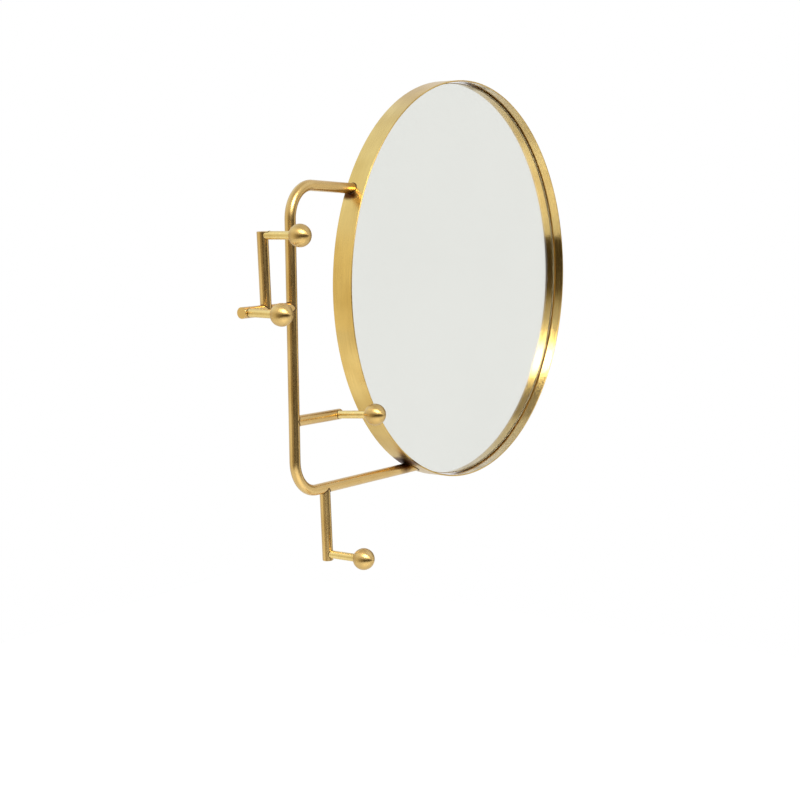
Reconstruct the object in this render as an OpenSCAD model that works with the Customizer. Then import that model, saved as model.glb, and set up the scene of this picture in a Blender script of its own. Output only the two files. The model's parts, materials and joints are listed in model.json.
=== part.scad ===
// Round wall mirror in a drum frame, with a bent side rail that carries four ball hooks.
// X runs right along the wall, Z up and Y into the wall. The origin is the centre of the
// frame on the wall plane, so the whole mirror lies at y <= 0. Lengths are millimetres.
//
// Every piece is drawn lying on its back on a bench: x right, y up the wall, and z the
// distance out from the wall. on_wall() stands it up.

/* [Frame band] */
// Outer diameter of the rolled band
frame_d = 600; // [450:10:800]
// Depth of the band, from the wall to its front rim
frame_depth = 32; // [26:1:60]
// Wall thickness of the band
band_wall = 2; // [1.5:0.5:3]
// Width of the eased edges on both rims
band_ease = 0.4; // [0.1:0.1:0.7]

/* [Glass and backing] */
// Space between the wall and the back of the backing panel
back_recess = 6.2; // [5:0.1:12]
// Thickness of the backing panel
panel_t = 6; // [5:0.5:9]
// Gap between the panel's edge and the band
panel_gap = 2; // [1:0.5:5]
// Thickness of the foam tape between glass and panel
tape_t = 0.8; // [0.5:0.1:2]
// Width of each tape strip
tape_w = 25; // [12:1:40]
// Length of each tape strip
tape_l = 320; // [100:10:400]
// Distance between tape strips
tape_pitch = 130; // [60:5:150]
// Number of tape strips
tape_count = 3; // [2:1:4]
// Thickness of the mirror glass
glass_t = 4; // [3:0.5:6]
// Gap between the glass and the band
glass_gap = 1.5; // [0.5:0.1:4]
// Width of the ground arris on the glass edge
glass_arris = 0.8; // [0.2:0.1:1.2]

/* [Panel tabs] */
// Number of angle tabs welded inside the band
tab_count = 6; // [3:1:12]
// Angle of the first tab, from straight right
tab_first_angle = 0; // [0:5:45]
// Width of a tab along the band
tab_w = 22; // [14:1:40]
// Sheet thickness of the tabs
tab_t = 1.5; // [1:0.1:2.5]
// Length of the leg that lies on the panel
tab_leg = 16; // [13:1:30]
// Distance of the tab's wall leg from the wall plane
tab_set_back = 1; // [0.5:0.1:2]

/* [Keyhole hangers] */
// Distance between the two keyholes
hanger_spacing = 300; // [200:10:340]
// Height of the keyhole entries above the mirror's centre
hanger_height = 140; // [60:10:150]
// Sheet thickness of the hanger plates
hanger_t = 1.2; // [0.8:0.1:2]
// Distance of the plates from the wall plane
hanger_set_back = 0.5; // [0.2:0.1:1]
// Width of the raised middle of a plate
hanger_mid_w = 26; // [20:1:36]
// Width of each ear
hanger_ear_w = 12; // [10:1:20]
// Height of a plate
hanger_h = 40; // [34:1:60]
// Diameter of the keyhole's entry
key_entry_d = 10; // [8:0.5:12]
// Width of the keyhole's slot
key_slot_w = 5; // [3.5:0.5:6]
// Rise from the entry's centre to the slot's upper end
key_rise = 13; // [9:1:16]
// Metal left above the slot
key_top_margin = 6.5; // [4:0.5:8]

/* [Screws] */
// Diameter of the wood screws' shank
screw_d = 3; // [2.5:0.5:4]
// Length of the screws under the head
screw_l = 5.5; // [4:0.5:6]
// Diameter of the screw heads
screw_head_d = 6.4; // [5:0.2:8]
// Height of the screw heads
screw_head_h = 2; // [1.2:0.1:2.6]

/* [Side rail] */
// Outer diameter of the rail and branch tube
tube_d = 15; // [12:0.5:18]
// Wall thickness of the tube
tube_wall = 1.5; // [1:0.1:2]
// Distance from the wall to the axis of the rail and its branches
tube_z = 9.5; // [9.5:0.5:18]
// Distance from the band to the axis of the upright
rail_offset = 102.5; // [80:0.1:160]
// Angle on the band of the upper joint, above the horizontal
rail_top_angle = 27.8; // [22:0.1:50]
// Fall of the upper run towards the band, in degrees
upper_run_fall = 2.7; // [0:0.1:5]
// Angle on the band of the lower joint, below the horizontal
rail_bottom_angle = 65; // [50:0.1:68]
// Fall of the lower run towards the band, in degrees
lower_run_fall = 0.6; // [0:0.1:3]
// Bend radius of the tube's axis
bend_r = 45; // [30:1:50]
// Root gap of every welded joint
weld_gap = 0.1; // [0.05:0.05:0.3]

/* [Branches] */
// Drop from the upper joint on the band to the upper arm
upper_arm_drop = 157; // [110:0.5:200]
// Distance from the upright to the post on the upper arm
post_offset = 53.5; // [35:0.5:70]
// Lean of the post and of the lower branch, as they were welded, in degrees
branch_lean = 2.4; // [0:0.1:5]
// Rise from the lower joint on the band to the middle arm
middle_arm_rise = 102.3; // [70:0.1:130]
// Fall of the middle arm from its root, in degrees
middle_arm_fall = 0.9; // [0:0.1:3]
// Distance from the upright to the branch under the lower run
drop_offset = 64.5; // [55:0.5:100]
// Distance along the upper arm from its root to its peg
upper_arm_reach = 94; // [85:1:130]
// Distance along the post from its root to its peg
post_reach = 97.5; // [60:0.5:130]
// Distance along the middle arm from its root to its peg
middle_arm_reach = 92; // [60:1:130]
// Distance along the lower branch from its root to its peg
drop_reach = 94; // [60:1:130]
// Length of an arm beyond its peg
arm_tail = 9; // [7:0.5:20]
// Length of the post beyond its peg
post_tail = 5; // [5:0.5:20]
// Thickness of the welded end caps
cap_t = 1.2; // [0.8:0.1:1.5]
// Width of the eased edge of a cap
cap_ease = 0.4; // [0.1:0.1:0.6]

/* [Hooks] */
// Diameter of the pegs
peg_d = 11; // [8:0.5:12]
// Diameter of the balls
ball_d = 30; // [20:1:40]
// Distance from the upper arm's axis to its ball's centre
upper_arm_hook = 58.5; // [45:0.5:90]
// Dip of the upper arm's hook, in degrees
upper_arm_hook_dip = 0.9; // [0:0.1:4]
// Distance from the post's axis to its ball's centre
post_hook = 61.5; // [45:0.5:90]
// Distance from the middle arm's axis to its ball's centre
middle_arm_hook = 67.5; // [45:0.5:90]
// Lift of the middle arm's hook, in degrees
middle_arm_hook_lift = 4; // [0:0.1:6]
// Distance from the lower branch's axis to its ball's centre
drop_hook = 62; // [45:0.5:90]
// Diameter of the flat that seats a ball on its peg
ball_flat_d = 12; // [12:0.5:14]
// Diameter of the studs turned on both ends of a peg
stud_d = 5; // [4:0.5:5]
// Length of the stud in the ball
stud_l = 9; // [5:0.5:10]
// Radial clearance of the studs in their holes
stud_fit = 0.1; // [0.05:0.05:0.2]
// Clearance at the blind end of the studs
stud_end_gap = 0.3; // [0.2:0.1:1]

/* [Hidden] */
$fn = 72;
ring_fn = 240;
cut = 1;                      // how far cutting tools pass the faces they cut

frame_r = frame_d / 2;
band_in_r = frame_r - band_wall;

// Heights above the wall of the stack behind and in the mirror
panel_back = back_recess;
panel_front = panel_back + panel_t;
glass_back = panel_front + tape_t;
glass_front = glass_back + glass_t;
glass_r = band_in_r - glass_gap;
panel_r = band_in_r - panel_gap;

tab_out_r = band_in_r - weld_gap;
tab_screw_r = tab_out_r - tab_t - (tab_leg - tab_t) / 2;
tab_angle = tab_w / tab_out_r * 180 / PI;

hanger_ear_x = hanger_mid_w / 2 + hanger_ear_w / 2;
hanger_top = key_rise + key_slot_w / 2 + key_top_margin;

tube_r = tube_d / 2;
bore_d = tube_d - 2 * tube_wall;
cope_r = tube_r + weld_gap;
rail_x = -(frame_r + rail_offset);
upper_joint_y = frame_r * sin(rail_top_angle);
lower_joint_y = -frame_r * sin(rail_bottom_angle);

ball_r = ball_d / 2;
ball_flat_z = sqrt(pow(ball_r, 2) - pow(ball_flat_d / 2, 2));

brass = [0.80, 0.66, 0.40];
steel = [0.70, 0.71, 0.72];
foam = [0.20, 0.20, 0.21];
board = [0.45, 0.33, 0.22];
silver = [0.86, 0.88, 0.88];

// Stands up what was drawn on the bench, with its back against the wall
module on_wall() {
    rotate([90, 0, 0]) children();
}

// ---------------------------------------------------------------- mirror frame

// A hoop of rectangular section whose four edges are eased by a flat
module eased_hoop(inner_r, outer_r, height, ease) {
    rotate_extrude($fn = ring_fn)
        polygon([
            [inner_r, ease], [inner_r + ease, 0], [outer_r - ease, 0], [outer_r, ease],
            [outer_r, height - ease], [outer_r - ease, height], [inner_r + ease, height],
            [inner_r, height - ease]
        ]);
}

module frame_band() {
    color(brass) on_wall() eased_hoop(band_in_r, frame_r, frame_depth, band_ease);
}

module mirror_glass() {
    color(silver) on_wall() translate([0, 0, glass_back])
        rotate_extrude($fn = ring_fn)
            polygon([
                [0, 0], [glass_r - glass_arris, 0], [glass_r, glass_arris],
                [glass_r, glass_t - glass_arris], [glass_r - glass_arris, glass_t], [0, glass_t]
            ]);
}

module bonding_tape() {
    color(foam) on_wall()
        for (i = [0 : tape_count - 1])
            translate([(i - (tape_count - 1) / 2) * tape_pitch - tape_w / 2, -tape_l / 2, panel_front])
                cube([tape_w, tape_l, tape_t]);
}

// Where the screws enter the panel's back, as [x, y, angle about z]
tab_screw_places = [
    for (i = [0 : tab_count - 1])
        let (a = tab_first_angle + i * 360 / tab_count)
            [tab_screw_r * cos(a), tab_screw_r * sin(a), a]
];
hanger_screw_places = [
    for (side = [-1, 1], ear = [-1, 1])
        [side * hanger_spacing / 2 + ear * hanger_ear_x, hanger_height, 45]
];

module backing_panel() {
    color(board) on_wall() difference() {
        translate([0, 0, panel_back]) cylinder(r = panel_r, h = panel_t, $fn = ring_fn);
        for (p = tab_screw_places) screw_pilot(p, tab_t);
        for (p = hanger_screw_places) screw_pilot(p, hanger_t);
    }
}

// The hole that a screw cuts in the panel, under sheet of the given thickness
module screw_pilot(place, sheet) {
    translate([place[0], place[1], panel_back - cut])
        cylinder(d = screw_d, h = screw_l - sheet + cut);
}

// A cross-head screw driven from behind, its head on sheet of the given thickness
module screw(place, sheet) {
    recess_w = screw_head_d / 6;
    translate([place[0], place[1], panel_back - sheet]) rotate([0, 0, place[2]])
        difference() {
            union() {
                cylinder(d = screw_d, h = screw_l);
                translate([0, 0, -screw_head_h])
                    cylinder(d1 = screw_head_d - screw_head_h, d2 = screw_head_d, h = screw_head_h);
            }
            for (turn = [0, 90])
                rotate([0, 0, turn])
                    translate([-screw_head_d / 4, -recess_w / 2, -screw_head_h - cut])
                        cube([screw_head_d / 2, recess_w, screw_head_h / 2 + cut]);
        }
}

module panel_tabs() {
    color(steel) on_wall() difference() {
        for (p = tab_screw_places)
            rotate([0, 0, p[2] - tab_angle / 2])
                rotate_extrude(angle = tab_angle, $fn = ring_fn)
                    polygon([
                        [tab_out_r - tab_leg, panel_back - tab_t], [tab_out_r - tab_t, panel_back - tab_t],
                        [tab_out_r - tab_t, tab_set_back], [tab_out_r, tab_set_back],
                        [tab_out_r, panel_back], [tab_out_r - tab_leg, panel_back]
                    ]);
        for (p = tab_screw_places)
            translate([p[0], p[1], panel_back - tab_t - cut]) cylinder(d = screw_d, h = tab_t + 2 * cut);
    }
}

module tab_screws() {
    color(steel) on_wall() for (p = tab_screw_places) screw(p, tab_t);
}

// ---------------------------------------------------------------- hangers

// A pressed strap: the middle stands off the panel, so a screw head fits behind it
module hanger_plate(side) {
    rise = panel_back - hanger_set_back;
    half_mid = hanger_mid_w / 2;
    half_all = half_mid + hanger_ear_w;
    color(steel) on_wall() translate([side * hanger_spacing / 2, hanger_height, hanger_set_back])
        difference() {
            translate([0, hanger_top, 0]) rotate([90, 0, 0])
                linear_extrude(hanger_h)
                    polygon([
                        [-half_mid, 0], [half_mid, 0], [half_mid, rise - hanger_t],
                        [half_all, rise - hanger_t], [half_all, rise], [half_mid - hanger_t, rise],
                        [half_mid - hanger_t, hanger_t], [hanger_t - half_mid, hanger_t],
                        [hanger_t - half_mid, rise], [-half_all, rise],
                        [-half_all, rise - hanger_t], [-half_mid, rise - hanger_t]
                    ]);
            translate([0, 0, -cut]) cylinder(d = key_entry_d, h = hanger_t + 2 * cut);
            translate([0, key_rise, -cut]) cylinder(d = key_slot_w, h = hanger_t + 2 * cut);
            translate([-key_slot_w / 2, 0, -cut]) cube([key_slot_w, key_rise, hanger_t + 2 * cut]);
            for (ear = [-1, 1])
                translate([ear * hanger_ear_x, 0, rise - hanger_t - cut])
                    cylinder(d = screw_d, h = hanger_t + 2 * cut);
        }
}

module hanger_plate_left() { hanger_plate(-1); }
module hanger_plate_right() { hanger_plate(1); }

module hanger_screws() {
    color(steel) on_wall() for (p = hanger_screw_places) screw(p, hanger_t);
}

// ---------------------------------------------------------------- side rail

// Distance along x from the end of a bend to the joint on the band
function run_across(angle) = -frame_r * cos(angle) - rail_x - bend_r;

// Half of a round bar along the rail's axis: the upright from the height of the mirror's
// centre, the bend, and the run, which falls to its joint and ends inside the band. The run
// is slanted by a shear, so its root is the same true circle as the end of the bend
module half_rail(d, angle, fall) {
    rise = frame_r * sin(angle) + run_across(angle) * tan(fall) - bend_r;
    into_band = 1.5 * tube_d;
    translate([rail_x, rise, 0]) rotate([90, 0, 0]) cylinder(d = d, h = rise);
    translate([rail_x + bend_r, rise, 0]) {
        rotate([0, 0, 90]) rotate_extrude(angle = 90) translate([bend_r, 0]) circle(d = d);
        translate([0, bend_r, 0]) multmatrix([[1, 0, 0, 0], [-tan(fall), 1, 0, 0], [0, 0, 1, 0]])
            rotate([0, 90, 0]) cylinder(d = d, h = run_across(angle) + into_band);
    }
}

// A round bar of the given diameter along the rail's axis, whose lower half is drawn as an
// upper one and turned over
module rail_bar(d) {
    half_rail(d, rail_top_angle, upper_run_fall);
    rotate([180, 0, 0]) half_rail(d, rail_bottom_angle, -lower_run_fall);
}

// One bent tube, both ends coped to sit on the outside of the band
module side_rail() {
    color(brass) on_wall() difference() {
        translate([0, 0, tube_z]) difference() {
            rail_bar(tube_d);
            rail_bar(bore_d);
        }
        translate([0, 0, -cut])
            cylinder(r = frame_r + weld_gap, h = frame_depth + 2 * cut, $fn = ring_fn);
    }
}

// ---------------------------------------------------------------- branches

// Each places its children at the root of one branch, with x along the branch and z out
// from the wall
module at_upper_arm() {
    on_wall() translate([rail_x, upper_joint_y - upper_arm_drop, tube_z])
        rotate([0, 0, 180]) children();
}

module at_upper_post() {
    at_upper_arm() translate([post_offset, 0, 0]) rotate([0, 0, branch_lean - 90]) children();
}

module at_middle_arm() {
    on_wall() translate([rail_x, lower_joint_y + middle_arm_rise, tube_z])
        rotate([0, 0, -middle_arm_fall]) children();
}

module at_lower_drop() {
    to_joint = -frame_r * cos(rail_bottom_angle) - rail_x - drop_offset;
    root_y = lower_joint_y + to_joint * tan(lower_run_fall);
    on_wall() translate([rail_x + drop_offset, root_y, tube_z])
        rotate([0, 0, branch_lean - 90]) children();
}

// Turns what stands at the peg's place about the axis of the branch
module at_peg(reach, hook_turn) {
    translate([reach, 0, 0]) rotate([-hook_turn, 0, 0]) children();
}

// Tube coped onto its parent, whose axis passes through the root at the given tilt from
// square, and drilled for the stud of its peg
module branch_tube(reach, tail, parent_tilt = 0, hook_turn = 0) {
    length = reach + tail - cap_t;
    color(brass) difference() {
        rotate([0, 90, 0]) cylinder(d = tube_d, h = length);
        translate([-cut, 0, 0]) rotate([0, 90, 0]) cylinder(d = bore_d, h = length + 2 * cut);
        rotate([90, 0, parent_tilt]) cylinder(r = cope_r, h = 3 * tube_d, center = true);
        at_peg(reach, hook_turn) cylinder(d = stud_d + 2 * stud_fit, h = tube_d);
    }
}

// Disc welded over the open end of a branch
module branch_cap(reach, tail) {
    color(brass) translate([reach + tail - cap_t, 0, 0]) rotate([0, 90, 0])
        rotate_extrude()
            polygon([
                [0, 0], [tube_r, 0], [tube_r, cap_t - cap_ease], [tube_r - cap_ease, cap_t], [0, cap_t]
            ]);
}

// Turned rod, coped onto the tube, with a stud at each end
module branch_peg(reach, hook, hook_turn = 0) {
    stud_back = sqrt(pow(bore_d / 2, 2) - pow(stud_d / 2, 2)) - stud_end_gap;
    peg_end = hook - ball_flat_z;
    color(brass) at_peg(reach, hook_turn) {
        difference() {
            cylinder(d = peg_d, h = peg_end);
            rotate([0, 90, 0]) cylinder(r = cope_r, h = 2 * peg_d, center = true);
        }
        translate([0, 0, -stud_back]) cylinder(d = stud_d, h = stud_back + peg_end + stud_l);
    }
}

// Ball with a flat and a blind hole where it seats on its peg
module branch_ball(reach, hook, hook_turn = 0) {
    color(brass) at_peg(reach, hook_turn) translate([0, 0, hook]) difference() {
        sphere(d = ball_d);
        translate([0, 0, -ball_d]) cylinder(d = ball_d, h = ball_d - ball_flat_z);
        translate([0, 0, -ball_d])
            cylinder(d = stud_d + 2 * stud_fit, h = ball_d - ball_flat_z + stud_l + stud_end_gap);
    }
}

module upper_arm() {
    at_upper_arm() branch_tube(upper_arm_reach, arm_tail, 0, upper_arm_hook_dip);
}
module upper_arm_cap() { at_upper_arm() branch_cap(upper_arm_reach, arm_tail); }
module upper_arm_peg() {
    at_upper_arm() branch_peg(upper_arm_reach, upper_arm_hook, upper_arm_hook_dip);
}
module upper_arm_ball() {
    at_upper_arm() branch_ball(upper_arm_reach, upper_arm_hook, upper_arm_hook_dip);
}

module upper_post() { at_upper_post() branch_tube(post_reach, post_tail, -branch_lean); }
module upper_post_cap() { at_upper_post() branch_cap(post_reach, post_tail); }
module upper_post_peg() { at_upper_post() branch_peg(post_reach, post_hook); }
module upper_post_ball() { at_upper_post() branch_ball(post_reach, post_hook); }

module middle_arm() {
    at_middle_arm()
        branch_tube(middle_arm_reach, arm_tail, middle_arm_fall, middle_arm_hook_lift);
}
module middle_arm_cap() { at_middle_arm() branch_cap(middle_arm_reach, arm_tail); }
module middle_arm_peg() {
    at_middle_arm() branch_peg(middle_arm_reach, middle_arm_hook, middle_arm_hook_lift);
}
module middle_arm_ball() {
    at_middle_arm() branch_ball(middle_arm_reach, middle_arm_hook, middle_arm_hook_lift);
}

module lower_drop() {
    at_lower_drop() branch_tube(drop_reach, arm_tail, -branch_lean - lower_run_fall);
}
module lower_drop_cap() { at_lower_drop() branch_cap(drop_reach, arm_tail); }
module lower_drop_peg() { at_lower_drop() branch_peg(drop_reach, drop_hook); }
module lower_drop_ball() { at_lower_drop() branch_ball(drop_reach, drop_hook); }

frame_band();
mirror_glass();
bonding_tape();
backing_panel();
panel_tabs();
tab_screws();
hanger_plate_left();
hanger_plate_right();
hanger_screws();
side_rail();
upper_arm();
upper_arm_cap();
upper_arm_peg();
upper_arm_ball();
upper_post();
upper_post_cap();
upper_post_peg();
upper_post_ball();
middle_arm();
middle_arm_cap();
middle_arm_peg();
middle_arm_ball();
lower_drop();
lower_drop_cap();
lower_drop_peg();
lower_drop_ball();
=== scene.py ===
"""Looks of a round wall mirror: a brushed brass drum frame with a bent rail and four ball hooks.

X runs right along the wall, Z up and Y into the wall. The origin is the centre of the round
frame, on the wall plane. Lengths are metres.
"""

import json
import logging
import math
from dataclasses import dataclass, field, replace
from enum import Enum

import bpy
from mathutils import Matrix, Vector

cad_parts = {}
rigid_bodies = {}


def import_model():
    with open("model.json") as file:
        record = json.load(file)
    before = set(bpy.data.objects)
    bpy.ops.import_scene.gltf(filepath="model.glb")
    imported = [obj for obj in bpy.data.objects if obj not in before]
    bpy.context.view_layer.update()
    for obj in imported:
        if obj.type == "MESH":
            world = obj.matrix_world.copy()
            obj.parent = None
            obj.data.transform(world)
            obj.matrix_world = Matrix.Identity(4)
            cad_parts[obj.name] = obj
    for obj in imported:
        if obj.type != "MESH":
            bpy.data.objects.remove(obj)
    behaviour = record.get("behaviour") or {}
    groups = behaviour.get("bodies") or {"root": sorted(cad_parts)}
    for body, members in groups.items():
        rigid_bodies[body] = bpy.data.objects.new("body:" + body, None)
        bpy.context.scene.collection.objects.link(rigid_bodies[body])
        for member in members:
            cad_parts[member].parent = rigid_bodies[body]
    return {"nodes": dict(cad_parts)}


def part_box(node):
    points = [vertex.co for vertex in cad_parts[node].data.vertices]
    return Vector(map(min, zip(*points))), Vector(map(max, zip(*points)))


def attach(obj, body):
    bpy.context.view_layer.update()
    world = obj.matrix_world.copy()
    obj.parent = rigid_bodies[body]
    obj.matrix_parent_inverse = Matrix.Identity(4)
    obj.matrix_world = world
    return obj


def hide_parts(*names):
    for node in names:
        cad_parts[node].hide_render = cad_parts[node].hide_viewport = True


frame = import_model()
log = logging.getLogger("wall_mirror")

BODY = "root"
SAME_PLACE = 1e-6  # lengths that differ by less are equal
WHITE = (1.0, 1.0, 1.0, 1.0)

Colour = tuple[float, float, float]
Span = tuple[float, float]  # where something starts and ends
Socket = bpy.types.NodeSocket
Outputs = bpy.types.bpy_prop_collection  # the outputs of a node, by name
Feed = Socket | float | Colour | Vector  # what feeds an input: an output or a constant

# spans of a noise value, which lies about 0.5: a narrower span gives a harder pattern
HARD: Span = (0.35, 0.65)
EVEN: Span = (0.30, 0.70)
SOFT: Span = (0.25, 0.75)


# ---------------------------------------------------------------- small helpers


def deselect_all() -> None:
    """Leaves nothing selected, so that an operator acts on the new piece alone."""
    bpy.ops.object.select_all(action="DESELECT")


def make_active(piece: bpy.types.Object) -> None:
    """Selects one piece, and nothing else, for the next operator.

    Args:
        piece: The piece that the operator works on.
    """
    deselect_all()
    piece.select_set(True)
    bpy.context.view_layer.objects.active = piece


def settle(piece: bpy.types.Object, name: str) -> bpy.types.Object:
    """Names a finished piece and moves its place into its mesh.

    Args:
        piece: The object that the operators left.
        name: Its name in the table of pieces.

    Returns:
        The same object, at the origin, unturned and unscaled.
    """
    make_active(piece)
    bpy.ops.object.transform_apply(location=True, rotation=True, scale=True)
    piece.name = name
    piece.data.name = name
    return piece


def hand_over(piece: bpy.types.Object) -> None:
    """Makes a new piece ride on the mirror's body.

    Args:
        piece: The finished piece.
    """
    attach(piece, BODY)
    log.info("made %s", piece.name)


def times(colour: Colour, factor: float) -> Colour:
    """Returns a colour times a number."""
    return tuple(part * factor for part in colour)


# ---------------------------------------------------------------- shader nodes


class Nodes:
    """A node tree with short calls that add a node and feed its inputs."""

    def __init__(self, tree: bpy.types.NodeTree) -> None:
        """Takes the tree that the calls add to."""
        self.tree = tree

    def feed(self, node: bpy.types.Node, inputs: dict[str | int, Feed]) -> None:
        """Feeds inputs of a node.

        Args:
            node: The node.
            inputs: For each input, by name or number, a constant or the output that feeds it.
        """
        for key, value in inputs.items():
            if isinstance(value, Socket):
                self.tree.links.new(value, node.inputs[key])
            else:
                node.inputs[key].default_value = value

    def add(
        self, kind: str, inputs: dict[str | int, Feed] | None = None, **settings: object
    ) -> bpy.types.Node:
        """Adds a node.

        Args:
            kind: The node's type, such as ShaderNodeMath.
            inputs: For each input, by name or number, a constant or the output that feeds it.
            **settings: Properties of the node, such as operation.

        Returns:
            The new node.
        """
        node = self.tree.nodes.new(kind)
        for key, value in settings.items():
            setattr(node, key, value)
        self.feed(node, inputs or {})
        return node

    def math(self, operation: str, *values: Feed) -> Socket:
        """Returns the result of a Math node on constants or outputs."""
        return self.add("ShaderNodeMath", dict(enumerate(values)), operation=operation).outputs[0]

    def vector(self, operation: str, *values: Feed) -> Socket:
        """Returns the vector that a Vector Math node makes of constants or outputs."""
        node = self.add("ShaderNodeVectorMath", dict(enumerate(values)), operation=operation)
        return node.outputs["Vector"]

    def scale(self, vector: Feed, factor: Feed) -> Socket:
        """Returns a vector, or a colour, times a number."""
        inputs = {0: vector, "Scale": factor}
        return self.add("ShaderNodeVectorMath", inputs, operation="SCALE").outputs["Vector"]

    def dot(self, a: Feed, b: Feed) -> Socket:
        """Returns the dot product of two vectors."""
        node = self.add("ShaderNodeVectorMath", {0: a, 1: b}, operation="DOT_PRODUCT")
        return node.outputs["Value"]

    def length(self, a: Feed) -> Socket:
        """Returns the length of a vector."""
        return self.add("ShaderNodeVectorMath", {0: a}, operation="LENGTH").outputs["Value"]

    def split(self, vector: Feed) -> list[Socket]:
        """Returns the three parts of a vector."""
        return list(self.add("ShaderNodeSeparateXYZ", {0: vector}).outputs)

    def join(self, x: Feed, y: Feed, z: Feed) -> Socket:
        """Returns the vector of three parts."""
        return self.add("ShaderNodeCombineXYZ", {0: x, 1: y, 2: z}).outputs[0]

    def radius(self, point: Feed) -> Socket:
        """Returns the distance of a place from the Y axis."""
        x, _, z = self.split(point)
        return self.length(self.join(x, 0.0, z))

    def ramp(
        self, value: Feed, start: float, end: float, low: float = 0.0, high: float = 1.0
    ) -> Socket:
        """Makes a smooth step.

        Args:
            value: The value that the step runs along.
            start: Where the step starts.
            end: Where it ends.
            low: The result before the start.
            high: The result after the end.

        Returns:
            The output that carries the result.
        """
        node = self.add(
            "ShaderNodeMapRange",
            {"Value": value, "From Min": start, "From Max": end, "To Min": low, "To Max": high},
            interpolation_type="SMOOTHSTEP",
        )
        return node.outputs["Result"]

    def noise(
        self, vector: Feed, scale: Feed = 1.0, detail: float = 2.0, roughness: float = 0.5
    ) -> Socket:
        """Returns the value of a Noise Texture, from 0 to 1."""
        inputs = {"Vector": vector, "Scale": scale, "Detail": detail, "Roughness": roughness}
        return self.add("ShaderNodeTexNoise", inputs).outputs["Fac"]

    def mix(self, share: Feed, a: Feed, b: Feed) -> Socket:
        """Mixes two colours.

        Args:
            share: How far the result lies from a towards b.
            a: The first colour.
            b: The second colour.

        Returns:
            The output that carries the result.
        """
        node = self.add("ShaderNodeMix", data_type="RGBA")
        for key, value in (("Factor", share), ("A", a), ("B", b)):
            socket = next(s for s in node.inputs if s.name == key and s.enabled)
            if isinstance(value, Socket):
                self.tree.links.new(value, socket)
            else:
                socket.default_value = value if key == "Factor" else (*value[:3], 1.0)
        return next(s for s in node.outputs if s.enabled)


class ShaderGroup:
    """A shader node group that is built once and placed in each material that uses it."""

    name = ""
    inputs: dict[str, tuple[str, object]] = {}
    outputs: dict[str, str] = {}

    @classmethod
    def tree(cls) -> bpy.types.NodeTree:
        """Finds the group, which the first call builds.

        Returns:
            The group's tree.
        """
        found = bpy.data.node_groups.get(cls.name)
        if found:
            return found
        tree = bpy.data.node_groups.new(cls.name, "ShaderNodeTree")
        for name, (kind, default) in cls.inputs.items():
            socket = tree.interface.new_socket(name, in_out="INPUT", socket_type=kind)
            socket.default_value = default
        for name, kind in cls.outputs.items():
            tree.interface.new_socket(name, in_out="OUTPUT", socket_type=kind)
        nodes = Nodes(tree)
        ends = cls.build(nodes, tree.nodes.new("NodeGroupInput").outputs)
        nodes.feed(tree.nodes.new("NodeGroupOutput"), ends)
        return tree

    @classmethod
    def build(cls, nodes: Nodes, given: Outputs) -> dict[str, Socket]:
        """Fills the group's tree.

        Args:
            nodes: The nodes of the group.
            given: The group's inputs, by name.

        Returns:
            What feeds each of the group's outputs.
        """
        raise NotImplementedError

    @classmethod
    def place(cls, nodes: Nodes, **values: Feed) -> Outputs:
        """Adds the group to a material.

        Args:
            nodes: The nodes of the material.
            **values: What feeds the group's inputs, such as patch_size for Patch size.

        Returns:
            The group's outputs, by name.
        """
        node = nodes.add("ShaderNodeGroup", node_tree=cls.tree())
        nodes.feed(node, {key.replace("_", " ").capitalize(): v for key, v in values.items()})
        return node.outputs


class RoundFrameLay(ShaderGroup):
    """Turns object coordinates into brush coordinates that run round the frame's axis."""

    name = "lay round the frame"
    inputs = {"Point": ("NodeSocketVector", (0, 0, 0))}
    outputs = {"Along": "NodeSocketVector", "Across": "NodeSocketVector"}

    @classmethod
    def build(cls, nodes: Nodes, given: Outputs) -> dict[str, Socket]:
        """Along stays the place itself; across is the radius and the depth.

        Args:
            nodes: The nodes of the group.
            given: The group's inputs, by name.

        Returns:
            What feeds each of the group's outputs.
        """
        depth = nodes.split(given["Point"])[1]
        across = nodes.join(nodes.radius(given["Point"]), depth, 0.0)
        return {"Along": given["Point"], "Across": across}


class RailLay(ShaderGroup):
    """Turns object coordinates into brush coordinates that follow the bent rail."""

    name = "lay along the rail"
    inputs = {
        "Point": ("NodeSocketVector", (0, 0, 0)),
        "Bend centre": ("NodeSocketVector", (0, 0, 0)),
        "Bend radius": ("NodeSocketFloat", 0.045),
        "Straight": ("NodeSocketFloat", 0.16),
        "Slopes": ("NodeSocketVector", (0, 0, 0)),
    }
    outputs = {"Along": "NodeSocketVector", "Across": "NodeSocketVector"}

    @classmethod
    def build(cls, nodes: Nodes, given: Outputs) -> dict[str, Socket]:
        """Across is the distance from the rail's axis in the wall's plane, and the depth.

        Args:
            nodes: The nodes of the group.
            given: The group's inputs, by name.

        Returns:
            What feeds each of the group's outputs.
        """
        x, y, z = nodes.split(nodes.vector("SUBTRACT", given["Point"], given["Bend centre"]))
        upper, lower, _ = nodes.split(given["Slopes"])
        share = nodes.math("GREATER_THAN", z, 0.0)
        slope = nodes.math("MULTIPLY_ADD", share, nodes.math("SUBTRACT", upper, lower), lower)
        z = nodes.math("MULTIPLY_ADD", nodes.math("MAXIMUM", x, 0.0), slope, z)
        left = nodes.math("MAXIMUM", nodes.math("MULTIPLY", x, -1.0), 0.0)
        past = nodes.math("SUBTRACT", nodes.math("ABSOLUTE", z), given["Straight"])
        reach = nodes.length(nodes.join(left, 0.0, nodes.math("MAXIMUM", past, 0.0)))
        side = nodes.math("SUBTRACT", reach, given["Bend radius"])
        return {"Along": given["Point"], "Across": nodes.join(side, y, 0.0)}


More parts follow.
